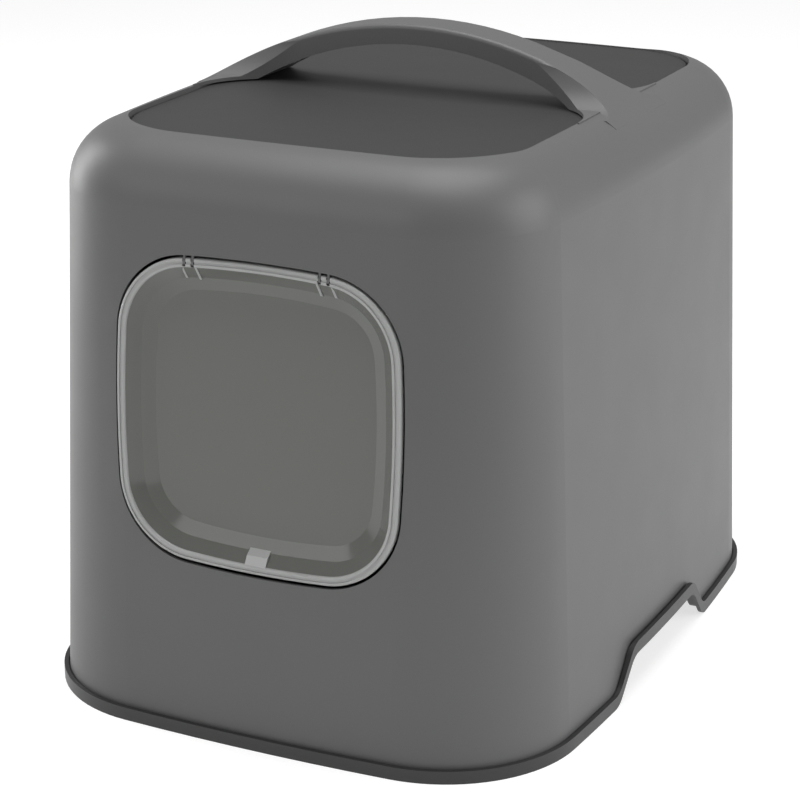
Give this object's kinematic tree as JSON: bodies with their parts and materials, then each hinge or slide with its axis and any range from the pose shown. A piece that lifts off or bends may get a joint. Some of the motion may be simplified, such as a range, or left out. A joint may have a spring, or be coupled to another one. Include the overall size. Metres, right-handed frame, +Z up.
{
  "type": "covered litter box",
  "caption": "Hooded cat litter box: drafted hood with carrying arch and smoked swing flap, lifted off a rimmed pan with side grips.",
  "frame": {"origin": "on the floor under the middle of the tray rim", "axes": "+Z up, -Y towards the flap door, +X to the right of someone who faces the door"},
  "size_m": [0.39, 0.5108, 0.434],
  "materials": {
    "hood_plastic": "satin moulded",
    "tray_plastic": "satin moulded, dark",
    "panel_plastic": "fine grained, dark",
    "smoked_clear": "smoked transparent plastic",
    "frosted_clear": "translucent clear plastic",
    "filter_plastic": "moulded, dark",
    "carbon_felt": "activated carbon felt",
    "steel": "zinc plated"
  },
  "bodies": {
    "tray": {"base_tray": "tray_plastic"},
    "hood": {"hood": "hood_plastic", "top_panel": "panel_plastic", "panel_screws": "steel", "hinge_pins": "steel"},
    "flap": {"flap_pane": "smoked_clear", "flap_frame": "frosted_clear"},
    "filter": {"filter_frame": "filter_plastic", "carbon_filter": "carbon_felt"}
  },
  "joints": [
    {"name": "hood_lift", "type": "slide", "parent": "tray", "child": "hood", "axis": [0, 0, 1], "range_m": [0, 0.2]},
    {"name": "flap_swing", "type": "hinge", "parent": "hood", "child": "flap", "pos_m": [0, -0.23544, 0.31878], "axis": [1, 0, 0], "range_deg": [-60, 70]},
    {"name": "filter_drop", "type": "slide", "parent": "hood", "child": "filter", "axis": [0, 0, -1], "range_m": [0, 0.05]}
  ]
}
